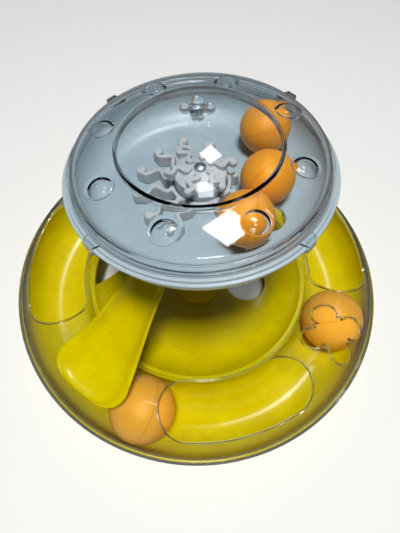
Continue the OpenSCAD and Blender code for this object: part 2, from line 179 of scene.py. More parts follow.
# Moulded milky polystyrene: grey-blue for the bowl, warmer for ribs and hub, a soft gloss, faintly cloudy
milkyStyrene = {
    "bowl": ("#b6c3c9", "#97a8b1", (0.21, 0.34)),   # colour, colour of its clouds, roughness
    "ribs": ("#c9cacb", "#b3b6b9", (0.45, 0.58)),
    "cloudWidth": 18,     # mm, clouds in the material
    "cloudDetail": 3.0,
    "ior": 1.55,
}


def makeMilkyStyrene(tint):
    s = milkyStyrene
    clearTint, cloudTint, roughness = s[tint]
    material, tree, coords = startMaterial("milky_polystyrene_" + tint)
    cloud = addNode(tree, "ShaderNodeTexNoise",
                    {"Scale": perMetre(s["cloudWidth"]), "Detail": s["cloudDetail"]}, {"Vector": coords})
    colour = addNode(tree, "ShaderNodeMix",
                     {"data_type": "RGBA", 6: linear(clearTint), 7: linear(cloudTint)},
                     {0: cloud.outputs["Fac"]})
    rough = addNode(tree, "ShaderNodeMapRange", {"To Min": roughness[0], "To Max": roughness[1]},
                    {"Value": cloud.outputs["Fac"]})
    shader = addNode(tree, "ShaderNodeBsdfPrincipled", {"IOR": s["ior"]},
                     {"Base Color": colour.outputs[2], "Roughness": rough.outputs[0]})
    addNode(tree, "ShaderNodeOutputMaterial", {}, {"Surface": shader.outputs[0]})
    return material


# Blown orange plastic of the balls: satin, slightly see-through skin, a moulding seam round the middle
ballPlastic = {
    "seamColour": "#dd8514",
    "seamWidth": 0.35,    # mm, half width of the seam
    "seamRelief": 1.5,    # height of the seam against the grain's
    "grainWidth": 1.2,    # mm, satin grain, drawn coarse enough to show
    "grainDetail": 2.0,
    "grainDepth": 0.2,    # mm
    "grainStrength": 0.06,
    "roughness": (0.33, 0.46),
    "ior": 1.5,
    "sheen": 0.3,         # a blown skin mirrors less than a polished one
    "glow": 0.1,          # share of the light that spreads inside the skin
    "glowReach": 3,       # mm
    "glowSpread": (1.0, 0.5, 0.12),
}


def makeBallPlastic(ballName, seamTilt, ballColour):
    s = ballPlastic
    low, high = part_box(ballName)
    centre = (low + high) / 2
    material, tree, coords = startMaterial("satin_orange_" + ballName)
    placed = addNode(tree, "ShaderNodeVectorMath", {"operation": "SUBTRACT", 1: centre}, {0: coords})
    turned = addNode(tree, "ShaderNodeVectorRotate",
                     {"rotation_type": "EULER_XYZ", "Rotation": [math.radians(a) for a in seamTilt]},
                     {"Vector": placed.outputs[0]})
    apart = addNode(tree, "ShaderNodeSeparateXYZ", {}, {"Vector": turned.outputs[0]})
    height = addNode(tree, "ShaderNodeMath", {"operation": "ABSOLUTE"}, {0: apart.outputs["Z"]})
    seam = addNode(tree, "ShaderNodeMapRange",
                   {"From Min": 0.0, "From Max": s["seamWidth"] * mm, "To Min": 1.0, "To Max": 0.0},
                   {"Value": height.outputs[0]})
    colour = addNode(tree, "ShaderNodeMix",
                     {"data_type": "RGBA", 6: linear(ballColour), 7: linear(s["seamColour"])},
                     {0: seam.outputs[0]})
    grain = addNode(tree, "ShaderNodeTexNoise",
                    {"Scale": perMetre(s["grainWidth"]), "Detail": s["grainDetail"]}, {"Vector": coords})
    relief = addNode(tree, "ShaderNodeMath", {"operation": "MULTIPLY_ADD", 1: s["seamRelief"]},
                     {0: seam.outputs[0], 2: grain.outputs["Fac"]})
    bump = addNode(tree, "ShaderNodeBump", {"Strength": s["grainStrength"], "Distance": s["grainDepth"] * mm},
                   {"Height": relief.outputs[0]})
    rough = addNode(tree, "ShaderNodeMapRange", {"To Min": s["roughness"][0], "To Max": s["roughness"][1]},
                    {"Value": grain.outputs["Fac"]})
    shader = addNode(tree, "ShaderNodeBsdfPrincipled",
                     {"IOR": s["ior"], "Specular IOR Level": s["sheen"], "Subsurface Weight": s["glow"],
                      "Subsurface Scale": s["glowReach"] * mm, "Subsurface Radius": s["glowSpread"]},
                     {"Base Color": colour.outputs[2], "Roughness": rough.outputs[0],
                      "Normal": bump.outputs[0]})
    addNode(tree, "ShaderNodeOutputMaterial", {}, {"Surface": shader.outputs[0]})
    return material


# Moulded nitrile rubber of the feet: dark, dull, dusty
footRubber = {
    "colour": "#2c2c2e",
    "dustColour": "#4a4946",
    "grainWidth": 0.9,    # mm
    "grainDetail": 4.0,
    "grainDepth": 0.2,    # mm
    "grainStrength": 0.3,
    "roughness": 0.82,
}


def makeFootRubber():
    s = footRubber
    material, tree, coords = startMaterial("nitrile_rubber")
    grain = addNode(tree, "ShaderNodeTexNoise",
                    {"Scale": perMetre(s["grainWidth"]), "Detail": s["grainDetail"]}, {"Vector": coords})
    colour = addNode(tree, "ShaderNodeMix",
                     {"data_type": "RGBA", 6: linear(s["colour"]), 7: linear(s["dustColour"])},
                     {0: grain.outputs["Fac"]})
    bump = addNode(tree, "ShaderNodeBump", {"Strength": s["grainStrength"], "Distance": s["grainDepth"] * mm},
                   {"Height": grain.outputs["Fac"]})
    shader = addNode(tree, "ShaderNodeBsdfPrincipled", {"Roughness": s["roughness"]},
                     {"Base Color": colour.outputs[2], "Normal": bump.outputs[0]})
    addNode(tree, "ShaderNodeOutputMaterial", {}, {"Surface": shader.outputs[0]})
    return material


# Zinc plated steel of the screws: greyish metal, slightly mottled
zincSteel = {
    "colour": "#b9bdc2",
    "dullColour": "#8f949a",
    "mottleWidth": 0.8,   # mm
    "mottleDetail": 3.0,
    "roughness": (0.24, 0.44),
}


def makeZincSteel():
    s = zincSteel
    material, tree, coords = startMaterial("zinc_plated_steel")
    mottle = addNode(tree, "ShaderNodeTexNoise",
                     {"Scale": perMetre(s["mottleWidth"]), "Detail": s["mottleDetail"]}, {"Vector": coords})
    colour = addNode(tree, "ShaderNodeMix",
                     {"data_type": "RGBA", 6: linear(s["colour"]), 7: linear(s["dullColour"])},
                     {0: mottle.outputs["Fac"]})
    rough = addNode(tree, "ShaderNodeMapRange", {"To Min": s["roughness"][0], "To Max": s["roughness"][1]},
                    {"Value": mottle.outputs["Fac"]})
    shader = addNode(tree, "ShaderNodeBsdfPrincipled", {"Metallic": 1.0},
                     {"Base Color": colour.outputs[2], "Roughness": rough.outputs[0]})
    addNode(tree, "ShaderNodeOutputMaterial", {}, {"Surface": shader.outputs[0]})
    return material


yellowMaterial = makeYellowAbs()
clearMaterial = makeClearStyrene()
milkyMaterial = makeMilkyStyrene("bowl")
ribMaterial = makeMilkyStyrene("ribs")
rubberMaterial = makeFootRubber()
steelMaterial = makeZincSteel()

finishes = {
    "track_trough": yellowMaterial,
    "centre_dish": yellowMaterial,
    "pedestal": yellowMaterial,
    "treat_chute": yellowMaterial,
    "track_cover": clearMaterial,
    "saucer_lid": clearMaterial,
    "lid_knob": clearMaterial,
    "saucer_bowl": milkyMaterial,
    "treat_maze": ribMaterial,
    "pivot_bush": milkyMaterial,
    "hub_cap": ribMaterial,
    "foot_pads": rubberMaterial,
    "pedestal_screws": steelMaterial,
    "cap_screw": steelMaterial,
}
# turn of the seam in degrees, and colour: the track's balls are a little paler
balls = {
    "track_ball_front": ((24, 62, 0), "#feb238"),
    "track_ball_right": ((70, 12, 0), "#feb238"),
    "saucer_ball_back": ((35, 20, 0), "#fba226"),
    "saucer_ball_middle": ((80, 40, 0), "#fba226"),
    "saucer_ball_front": ((15, 75, 0), "#fba226"),
}
for ballName, (seamTilt, ballColour) in balls.items():
    finishes[ballName] = makeBallPlastic(ballName, seamTilt, ballColour)
for nodeName, material in finishes.items():
    nodes[nodeName].data.materials.clear()
    nodes[nodeName].data.materials.append(material)
print("materials:", len(bpy.data.materials))

# Helpers for modelling: what an operator works on is chosen in code, by place
def arcPoints(centre, radius, fromAngle, toAngle, steps):  # angles in degrees from upright, towards +X
    angles = [math.radians(fromAngle + (toAngle - fromAngle) * i / steps) for i in range(steps + 1)]
    return [(centre[0] + radius * math.sin(a), centre[1] + radius * math.cos(a)) for a in angles]


def drawChain(name, places):  # a chain of edges, one vertex extruded from place to place
    bpy.ops.object.select_all(action="DESELECT")
    bpy.ops.mesh.primitive_plane_add(size=mm)
    piece = bpy.context.object
    piece.name = name
    bpy.ops.object.mode_set(mode="EDIT")
    bpy.ops.mesh.select_mode(type="VERT")
    bpy.ops.mesh.merge(type="CENTER")
    bpy.ops.transform.translate(value=places[0])
    for here, there in zip(places, places[1:]):
        bpy.ops.mesh.extrude_vertices_move(TRANSFORM_OT_translate={"value": there - here})
    return piece


def drawProfile(name, points):  # a section in the XZ plane, in mm
    return drawChain(name, [Vector((x, 0, z)) * mm for x, z in points])


def spinProfile(piece, steps):  # closes the drawn chain into a turned body
    bpy.ops.mesh.select_all(action="SELECT")
    bpy.ops.mesh.spin(steps=steps, angle=2 * math.pi, center=(0, 0, 0), axis=(0, 0, 1))
    bpy.ops.mesh.select_all(action="SELECT")
    bpy.ops.mesh.remove_doubles(threshold=mergeGap)
    bpy.ops.mesh.normals_make_consistent(inside=False)
    bpy.ops.object.mode_set(mode="OBJECT")


def choose(piece, kind, test):  # selects the vertices, edges or faces that pass a test
    bpy.ops.object.mode_set(mode="EDIT")
    bpy.ops.mesh.select_mode(type=kind)
    bpy.ops.mesh.select_all(action="DESELECT")
    bpy.ops.object.mode_set(mode="OBJECT")
    parts = {"VERT": piece.data.vertices, "EDGE": piece.data.edges, "FACE": piece.data.polygons}[kind]
    for part in parts:
        part.select = test(part)
    bpy.ops.object.mode_set(mode="EDIT")


def makeActive(piece):
    bpy.ops.object.select_all(action="DESELECT")
    piece.select_set(True)
    bpy.context.view_layer.objects.active = piece


def applyModifier(piece, kind, settings):
    makeActive(piece)
    modifier = piece.modifiers.new(kind.lower(), kind)
    for name, value in settings.items():
        setattr(modifier, name, value)
    bpy.ops.object.modifier_apply(modifier=modifier.name)


def roundEdges(piece, width, segments, sharper=30):  # rounds the edges that are sharper than so many degrees
    applyModifier(piece, "BEVEL", {"width": width * mm, "segments": segments, "limit_method": "ANGLE",
                                   "angle_limit": math.radians(sharper)})


def seat(piece, place):  # puts a piece where it belongs, with its place in its mesh
    makeActive(piece)
    piece.matrix_world = place
    bpy.ops.object.transform_apply(location=True, rotation=True, scale=True)


def turnsFrom(first, step, count):  # turns about the upright axis, in degrees
    return [Matrix.Rotation(math.radians(first + step * i), 4, "Z") for i in range(count)]


def copiesTo(places, piece):  # the piece takes the first place, and copies with their own mesh take the others
    copies = [piece]
    while len(copies) < len(places):
        copy = piece.copy()
        copy.data = piece.data.copy()
        bpy.context.collection.objects.link(copy)
        copies.append(copy)
    for copy, place in zip(copies, places):
        seat(copy, place)
    return copies


def joinPieces(pieces):
    makeActive(pieces[0])
    for piece in pieces[1:]:
        piece.select_set(True)
    bpy.ops.object.join()
    return pieces[0]


def cutOrAdd(piece, tool, operation, crossed=False):  # a boolean that uses the tool up
    applyModifier(piece, "BOOLEAN", {"object": tool, "operation": operation, "solver": "EXACT",
                                     "use_self": crossed})
    bpy.data.objects.remove(tool)


def blend(piece, voxel, rounds):  # runs joined shapes together into one skin
    applyModifier(piece, "REMESH", {"mode": "VOXEL", "voxel_size": voxel * mm})
    applyModifier(piece, "SMOOTH", {"factor": 0.5, "iterations": rounds})


def copyNode(nodeName, pieceName):  # a merged copy of a CAD piece, left in edit mode
    piece = bpy.data.objects.new(pieceName, nodes[nodeName].data.copy())
    bpy.context.collection.objects.link(piece)
    makeActive(piece)
    bpy.ops.object.mode_set(mode="EDIT")
    bpy.ops.mesh.select_all(action="SELECT")
    bpy.ops.mesh.remove_doubles(threshold=mergeGap)
    return piece


def handOver(piece, material, body, slotName, *replaced):  # finish, body and the CAD nodes it stands for
    makeActive(piece)
    bpy.ops.object.shade_smooth_by_angle(angle=math.radians(smoothAngle))
    applyModifier(piece, "WEIGHTED_NORMAL", {"keep_sharp": True})
    piece.data.materials.clear()
    piece.data.materials.append(material)
    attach(piece, body)
    if replaced:
        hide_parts(*replaced)


# The saucer's pieces are drawn upright about their own axis and then leaned onto the post
spinJoint = [j for j in frame["joints"] if j["name"] == "saucer_spin"][0]
saucerAxis = Vector(spinJoint["axis"]).normalized()
saucerPlace = (Matrix.Translation(Vector(spinJoint["pos_m"]))
               @ Vector((0, 0, 1)).rotation_difference(saucerAxis).to_matrix().to_4x4())

# Lid of the saucer: one clear moulding with a dome on a step, a bowed slope, lenses and four clips
lidShell = {
    "wall": 1.8,
    "domeTop": 43.0,          # mm above the pivot, as all heights here
    "domeFoot": (36.9, 29.3),  # radius and height
    "stepHeight": 2.5,
    "stepRound": 1.85,
    "stepRing": 2.0,          # thickness of the ring behind the step
    "slopeRadius": 172,
    "slopeStart": 7.5,        # degrees at the dome's foot
    "shoulder": 57.8,
    "shoulderRound": 4.0,
    "seat": 18.1,
    "flange": (60.0, 2.0),    # reach and thickness
    "spigot": (58.7, 56.9, 3.0),  # outer and inner radius, depth
    "edgeRound": 0.35,
    "edgeAngle": 12,          # degrees, sharper edges are rounded
    "spinSteps": 160,
    "arcSteps": 20,
    "roundSteps": 8,
    "lensCount": 8,
    "lensFirst": 31,          # degrees
    "lensCircle": 46.2,
    "lensWidth": 13.0,
    "lensRise": 1.8,
    "lensFoot": 0.6,
    "lensRoot": 1.0,          # mm, how far a lens goes into the wall
    "lensRound": 0.2,
    "lensSteps": (12, 64),    # from the crown to the edge, and around
    "lensHollow": 8.0,        # radius of the hollow below each lens
    "hollowSteps": (64, 48),
    "clipFirst": 47,          # degrees
    "clipWidth": 9.0,
    "clipTaper": 1.8,
    "clipReach": (65.6, 63.6),  # of the two at the back and the two at the front
    "clipThick": 1.3,
    "clipDrop": 4.0,
    "clipRoot": 58.5,
    "clipRound": 0.35,
}


def lidSlopeCentre():  # of the arc that the bowed slope follows
    s = lidShell
    lean = math.radians(s["slopeStart"])
    return (s["domeFoot"][0] - s["slopeRadius"] * math.sin(lean),
            s["domeFoot"][1] - s["slopeRadius"] * math.cos(lean))


def roundedArc(centre, radius, begin, edge, rounding, t):  # an arc that rounds over into an upright wall
    inner = radius - rounding
    across = edge - rounding
    end = math.degrees(math.asin((across - centre[0]) / inner))
    roundCentre = (across, centre[1] + math.sqrt(inner ** 2 - (across - centre[0]) ** 2))
    return (arcPoints(centre, radius - t, begin, end, lidShell["arcSteps"])
            + arcPoints(roundCentre, rounding - t, end, 90, lidShell["roundSteps"])[1:])


def lidFace(t):  # points of the lid's face, moved inwards by t, from the dome's top to below the shoulder
    s = lidShell
    foot, footHeight = s["domeFoot"]
    sag = s["domeTop"] - footHeight - s["stepHeight"]
    domeRadius = (foot ** 2 + sag ** 2) / (2 * sag)
    domeCentre = (0, s["domeTop"] - domeRadius)
    slopeCentre = lidSlopeCentre()
    step = foot if t == 0 else foot - s["stepRing"] + t  # the ring behind the step is thicker than the wall
    slopeRadius = s["slopeRadius"] - t
    slopeBegin = math.degrees(math.asin((step - t - slopeCentre[0]) / slopeRadius))
    return (roundedArc(domeCentre, domeRadius, 0, step, s["stepRound"], t)
            + roundedArc(slopeCentre, s["slopeRadius"], slopeBegin, s["shoulder"], s["shoulderRound"], t))


def makeLens():
    s = lidShell
    crown = s["lensRise"] - s["lensFoot"]
    half = s["lensWidth"] / 2
    radius = (half ** 2 + crown ** 2) / (2 * crown)
    spread = math.degrees(math.asin(half / radius))
    points = (arcPoints((0, s["lensRise"] - radius), radius, 0, spread, s["lensSteps"][0])
              + [(half, -s["lensRoot"]), (0, -s["lensRoot"])])
    lens = drawProfile("lens", points)
    spinProfile(lens, s["lensSteps"][1])
    roundEdges(lens, s["lensRound"], 2)
    return lens


def makeClip(reach):
    s = lidShell
    bpy.ops.object.select_all(action="DESELECT")
    bpy.ops.mesh.primitive_cube_add(size=1)
    clip = bpy.context.object
    long = reach - s["clipRoot"]
    seat(clip, Matrix.Translation(Vector((s["clipRoot"] + long / 2, 0, s["seat"] + s["clipThick"] / 2)) * mm)
         @ Matrix.Diagonal((long * mm, s["clipWidth"] * mm, s["clipThick"] * mm, 1)))
    # the outer end is drawn in, then its strip is extruded down as the hook
    choose(clip, "FACE", lambda f: f.normal.x > 0.9)
    bpy.ops.transform.resize(value=(1, 1 - 2 * s["clipTaper"] / s["clipWidth"], 1))
    bpy.ops.mesh.select_all(action="SELECT")
    cut = (reach - s["clipThick"]) * mm
    bpy.ops.mesh.bisect(plane_co=(cut, 0, 0), plane_no=(1, 0, 0))
    choose(clip, "FACE", lambda f: f.normal.z < -0.9 and f.center.x > cut)
    bpy.ops.mesh.extrude_region_move(TRANSFORM_OT_translate={"value": (0, 0, -s["clipDrop"] * mm)})
    bpy.ops.object.mode_set(mode="OBJECT")
    roundEdges(clip, s["clipRound"], 3)
    return clip


def makeLid():
    s = lidShell
    under = s["seat"] - s["spigot"][2]
    rim = [(s["shoulder"], s["seat"] + s["flange"][1]), (s["flange"][0], s["seat"] + s["flange"][1]),
           (s["flange"][0], s["seat"]), (s["spigot"][0], s["seat"]), (s["spigot"][0], under),
           (s["spigot"][1], under), (s["spigot"][1], s["seat"]), (s["shoulder"] - s["wall"], s["seat"])]
    lid = drawProfile("lid_shell", lidFace(0) + rim + lidFace(s["wall"])[::-1])
    spinProfile(lid, s["spinSteps"])
    roundEdges(lid, s["edgeRound"], 3, s["edgeAngle"])
    centre = lidSlopeCentre()
    lean = math.asin((s["lensCircle"] - centre[0]) / s["slopeRadius"])
    lensHeight = centre[1] + s["slopeRadius"] * math.cos(lean)
    lensPlaces = [turn @ Matrix.Translation(Vector((s["lensCircle"], 0, lensHeight)) * mm)
                  @ Matrix.Rotation(lean, 4, "Y")
                  for turn in turnsFrom(s["lensFirst"], 360 / s["lensCount"], s["lensCount"])]
    added = copiesTo(lensPlaces, makeLens())
    clipCount = 2 * len(s["clipReach"])
    clipTurns = turnsFrom(s["clipFirst"], 360 / clipCount, clipCount)
    for i, reach in enumerate(s["clipReach"]):
        added += copiesTo(clipTurns[2 * i:2 * i + 2], makeClip(reach))
    cutOrAdd(lid, joinPieces(added), "UNION")
    bpy.ops.object.select_all(action="DESELECT")
    bpy.ops.mesh.primitive_uv_sphere_add(segments=s["hollowSteps"][0], ring_count=s["hollowSteps"][1],
                                         radius=s["lensHollow"] * mm)
    hollow = bpy.context.object
    below = Matrix.Translation((0, 0, (s["lensRise"] - s["wall"] - s["lensHollow"]) * mm))
    hollows = copiesTo([place @ below for place in lensPlaces], hollow)
    cutOrAdd(lid, joinPieces(hollows), "DIFFERENCE")
    seat(lid, saucerPlace)
    return lid


lid = makeLid()
handOver(lid, clearMaterial, "lid", "clear_plastic", "saucer_lid")
print("lid:", len(lid.data.polygons), "faces")

# Knob on the dome: two small and two larger lobes run together over a short neck
lidKnob = {
    "height": 47.3,           # mm, the lobes' middle above the pivot
    "coreRadius": 3.3,
    "sideLobe": (2.2, 4.9),   # radius and reach
    "endLobe": (2.9, 3.1),
    "neckRadius": 2.6,
    "neckFoot": 43.06,        # just on the dome
    "lobeSteps": (40, 20),
    "neckSteps": 48,
    "voxel": 0.2,             # mm, grain of the blend
    "smoothRounds": 6,
}


def makeKnob():
    s = lidKnob
    middle = Vector((0, 0, s["height"])) * mm
    around, upwards = s["lobeSteps"]
    bpy.ops.object.select_all(action="DESELECT")
    bpy.ops.mesh.primitive_uv_sphere_add(segments=around, ring_count=upwards, radius=s["coreRadius"] * mm,
                                         location=middle)
    knob = bpy.context.object
    knob.name = "knob_clover"
    bpy.ops.object.transform_apply(location=True)
    bpy.ops.object.mode_set(mode="EDIT")
    for (radius, reach), across in ((s["sideLobe"], Vector((1, 0, 0))), (s["endLobe"], Vector((0, 1, 0)))):
        for side in (-1, 1):
            bpy.ops.mesh.primitive_uv_sphere_add(segments=around, ring_count=upwards, radius=radius * mm,
                                                 location=middle + across * side * reach * mm)
    low, high = s["neckFoot"], s["height"]
    bpy.ops.mesh.primitive_cylinder_add(vertices=s["neckSteps"], radius=s["neckRadius"] * mm,
                                        depth=(high - low) * mm, location=(0, 0, (low + high) / 2 * mm))
    bpy.ops.object.mode_set(mode="OBJECT")
    blend(knob, s["voxel"], s["smoothRounds"])
    seat(knob, saucerPlace)
    return knob


knob = makeKnob()
handOver(knob, clearMaterial, "lid", "clear_plastic", "lid_knob")
print("knob:", len(knob.data.polygons), "faces")

# Chute: a channel drawn out section by section, with a narrow neck, a flat rim and a round tip
chuteShell = {
    "direction": 234.3,       # degrees in plan
    "start": 26.0,            # mm from the post's axis, as the next two
    "end": 106.5,
    "widest": 92.3,
    "headHalf": 9.0,          # half width at the upper end
    "mouthHalf": 23.9,
    "flare": 1.65,            # power of the widening
    "tipPower": 2.9,          # 2 is an ellipse, more is squarer
    "tipHeight": 50.9,
    "steepness": 0.0092,      # per mm, of the parabola that the edges follow
    "headDepth": 5.0,
    "headDrop": 3.2,          # mm, the sides run down at the upper end
    "headRun": 8.0,
    "tipDepth": 2.9,
    "dishPower": 4.0,         # roundness of the channel's section
    "rimShare": 0.875,        # of the half width, past it the edge is a flat rim
    "edgeRise": 1.3,          # mm, the side edges stand up towards the mouth
    "edgeRun": 1.3,           # the rise is full at 1 / edgeRun of the length
    "neckRise": 3.2,          # mm, the side edges stand up in the neck
    "neckShare": 0.75,        # of the length
    "wall": 1.8,
    "stations": 32,
    "stationPower": 0.85,     # below 1, sections lie closer towards the tip
    "strips": 32,
    "tipCut": 0.12,           # mm, the last section lies this far before the tip
    "subdivisions": 2,
}


def chuteSection(r):  # half width, height of the edges and depth below them
    s = chuteShell
    if r < s["widest"]:
        grown = ((r - s["start"]) / (s["widest"] - s["start"])) ** s["flare"]
        half = s["headHalf"] + (s["mouthHalf"] - s["headHalf"]) * grown
    else:
        past = (r - s["widest"]) / (s["end"] - s["widest"])
        half = s["mouthHalf"] * (1 - past ** s["tipPower"]) ** (1 / s["tipPower"])
    along = (r - s["start"]) / (s["end"] - s["start"])
    depth = s["headDepth"] + (s["tipDepth"] - s["headDepth"]) * along
    if r > s["widest"]:  # the floor flattens out towards the tip
        depth *= half / s["mouthHalf"]
    edge = s["tipHeight"] + s["steepness"] * (s["end"] - r) ** 2
    edge += s["edgeRise"] * min(1, s["edgeRun"] * along) ** 2
    neck = s["neckRise"] * max(0, math.sin(math.pi * min(1, along / s["neckShare"]))) ** 2
    drop = s["headDrop"] * max(0, 1 - (r - s["start"]) / s["headRun"]) ** 2
    return half, edge + neck - drop, depth + neck - drop


def makeChute():
    s = chuteShell
    last = s["end"] - s["tipCut"]
    stations = []
    for k in range(s["stations"] + 1):
        share = math.sin(math.pi / 2 * (k / s["stations"]) ** s["stationPower"])
        stations.append(s["start"] + (last - s["start"]) * share)
    half, edge, depth = chuteSection(stations[0])
    section = []
    for j in range(s["strips"] + 1):
        across = 2 * j / s["strips"] - 1
        rise = min(1, abs(across) / s["rimShare"]) ** s["dishPower"]
        section.append((half * across, edge - depth * (1 - rise)))
    chute = drawProfile("chute_shell", section)
    bpy.ops.mesh.select_all(action="SELECT")
    bpy.ops.transform.translate(value=(0, stations[0] * mm, 0))
    for here, there in zip(stations, stations[1:]):
        halfHere, edgeHere, depthHere = chuteSection(here)
        half, edge, depth = chuteSection(there)
        bpy.ops.mesh.extrude_edges_move(
            TRANSFORM_OT_translate={"value": (0, (there - here) * mm, (edge - edgeHere) * mm)})
        bpy.ops.transform.resize(value=(half / halfHere, 1, depth / depthHere),
                                 center_override=(0, there * mm, edge * mm))
    # the sheet is drawn down to give it its wall, and the subdivision rounds the edge
    bpy.ops.mesh.select_all(action="SELECT")
    bpy.ops.mesh.extrude_region_move(TRANSFORM_OT_translate={"value": (0, 0, -s["wall"] * mm)})
    bpy.ops.mesh.select_all(action="SELECT")
    bpy.ops.mesh.normals_make_consistent(inside=False)
    bpy.ops.object.mode_set(mode="OBJECT")
    applyModifier(chute, "SUBSURF", {"levels": s["subdivisions"], "render_levels": s["subdivisions"]})
    seat(chute, Matrix.Rotation(math.radians(s["direction"] - 90), 4, "Z"))
    return chute


chute = makeChute()
handOver(chute, yellowMaterial, "base", "yellow_plastic", "treat_chute")
print("chute:", len(chute.data.polygons), "faces")

# Trough: the lower half of the track's tube, with bosses over the feet
troughRing = {
    "ringRadius": 95.4,
    "channelRadius": 21.3,
    "wall": 2.0,
    "channelHeight": 24.8,
    "outerTop": 28.6,
    "innerTop": 27.0,
    "edgeRound": 0.4,
    "arcSteps": 64,
    "spinSteps": 192,
    "bossCount": 6,
    "bossRadius": 7.5,
    "bossFoot": 1.52,
    "bossTop": 3.4,
    "bossRound": 0.3,
    "bossSteps": 64,
}


def makeTrough():
    s = troughRing
    centre = (s["ringRadius"], s["channelHeight"])
    arcs = []
    for radius in (s["channelRadius"] + s["wall"], s["channelRadius"]):
        fromAngle = math.degrees(math.acos((s["outerTop"] - centre[1]) / radius))
        toAngle = 360 - math.degrees(math.acos((s["innerTop"] - centre[1]) / radius))
        arcs.append(arcPoints(centre, radius, fromAngle, toAngle, s["arcSteps"]))
    trough = drawProfile("trough_moulding", arcs[0] + arcs[1][::-1] + arcs[0][:1])
    spinProfile(trough, s["spinSteps"])
    roundEdges(trough, s["edgeRound"], 3)
    bpy.ops.object.select_all(action="DESELECT")
    bpy.ops.mesh.primitive_cylinder_add(vertices=s["bossSteps"], radius=s["bossRadius"] * mm,
                                        depth=(s["bossTop"] - s["bossFoot"]) * mm)
    boss = bpy.context.object
    roundEdges(boss, s["bossRound"], 2)
    out = Matrix.Translation(Vector((s["ringRadius"], 0, (s["bossTop"] + s["bossFoot"]) / 2)) * mm)
    bosses = copiesTo([turn @ out for turn in turnsFrom(0, 360 / s["bossCount"], s["bossCount"])], boss)
    cutOrAdd(trough, joinPieces(bosses), "UNION")
    return trough


trough = makeTrough()
handOver(trough, yellowMaterial, "base", "yellow_plastic", "track_trough")
print("trough:", len(trough.data.polygons), "faces")

# Maze on the saucer's floor: wavy ribs with rounded crests and bulbs at their tips, on a ring round the hub
mazeRibs = {
    "floor": -0.3,            # mm above the pivot
    "height": 7.0,
    "width": 2.2,
    "crestRound": 0.95,
    "crestAngle": 60,         # degrees, the waves' own bends stay as they are
    "bulbRound": 0.6,         # share of the bulb's radius or of half its height
    "bulbSteps": 48,
    "ring": (12.8, 14.7),     # inner and outer radius
    "ringRound": 0.6,
    "ringSteps": 96,
    "start": 13.5,
    "waves": 540,             # degrees of wave along a rib
    "voxel": 0.3,             # mm, grain of the blend between ribs, bulbs and ring
    "smoothRounds": 4,
    "longRibs": {"length": 17.0, "wave": 2.2, "tip": 2.6, "count": 6, "first": 110, "step": 28,
                 "points": 28},
    "shortRibs": {"length": 3.6, "wave": 0.0, "tip": 1.7, "count": 4, "first": -60, "step": 38,
                  "points": 2},
}


def makeRib(name, low, high, start, kind):  # a wavy wall with a round crest, and a bulb at its end
    s = mazeRibs
    points = kind["points"]
    tall = high - low
    places = [Vector((start + kind["length"] * i / points,
                      kind["wave"] * math.sin(math.radians(s["waves"] * i / points)), low)) * mm
              for i in range(points + 1)]
    rib = drawChain(name, places)
    bpy.ops.mesh.select_all(action="SELECT")
    bpy.ops.mesh.extrude_edges_move(TRANSFORM_OT_translate={"value": (0, 0, tall * mm)})
    bpy.ops.object.mode_set(mode="OBJECT")
    applyModifier(rib, "SOLIDIFY", {"thickness": s["width"] * mm, "offset": 0, "use_even_offset": True})
    roundEdges(rib, s["crestRound"], 4, s["crestAngle"])
    bpy.ops.object.select_all(action="DESELECT")
    bpy.ops.mesh.primitive_cylinder_add(vertices=s["bulbSteps"], radius=kind["tip"] * mm, depth=tall * mm)
    bulb = bpy.context.object
    seat(bulb, Matrix.Translation(places[-1] + Vector((0, 0, tall / 2)) * mm))
    roundEdges(bulb, s["bulbRound"] * min(kind["tip"], tall / 2), 6)
    return joinPieces([rib, bulb])


def makeMaze():
    s = mazeRibs
    inner, outer = s["ring"]
    low, high = s["floor"], s["floor"] + s["height"]
    section = [(inner, low), (outer, low), (outer, high), (inner, high), (inner, low)]
    maze = drawProfile("maze_moulding", section)
    spinProfile(maze, s["ringSteps"])
    roundEdges(maze, s["ringRound"], 3)
    ribs = []
    for kind in (s["longRibs"], s["shortRibs"]):
        rib = makeRib("rib", low, high, s["start"], kind)
        ribs += copiesTo(turnsFrom(kind["first"], kind["step"], kind["count"]), rib)
    joinPieces([maze] + ribs)
    blend(maze, s["voxel"], s["smoothRounds"])
    seat(maze, saucerPlace)
    return maze


maze = makeMaze()
handOver(maze, ribMaterial, "saucer", "pale_plastic", "treat_maze")
print("maze:", len(maze.data.polygons), "faces")

# Hub button over the bush: a low dome with wavy fingers that reach out over the maze
hubButton = {
    "foot": 12.0,             # mm above the pivot
    "top": 15.0,
    "radius": 12.5,
    "curve": 40.0,            # radius of the dome
    "curveSteps": 12,
    "spinSteps": 96,
    "hole": 1.62,             # radius, for the screw
    "edgeRound": 1.3,
    "fingerLow": 13.1,
    "fingerHigh": 16.4,
    "fingerStart": 4.6,       # mm from the axis
    "fingers": {"length": 10.8, "wave": 1.7, "tip": 1.8, "count": 6, "first": 12, "step": 60, "points": 24},
    "voxel": 0.2,
    "smoothRounds": 5,
}


def makeHub():
    s = hubButton
    spread = [math.degrees(math.asin(r / s["curve"])) for r in (s["hole"], s["radius"] - s["edgeRound"] / 2)]
    crown = arcPoints((0, s["top"] - s["curve"]), s["curve"], spread[0], spread[1], s["curveSteps"])
    hub = drawProfile("hub_button", [(s["hole"], s["foot"])] + crown
                      + [(s["radius"], crown[-1][1] - s["edgeRound"] / 2), (s["radius"], s["foot"]),
                         (s["hole"], s["foot"])])
    spinProfile(hub, s["spinSteps"])
    kind = s["fingers"]
    finger = makeRib("finger", s["fingerLow"], s["fingerHigh"], s["fingerStart"], kind)
    fingers = copiesTo(turnsFrom(kind["first"], kind["step"], kind["count"]), finger)
    joinPieces([hub] + fingers)
    blend(hub, s["voxel"], s["smoothRounds"])
    seat(hub, saucerPlace)
    return hub


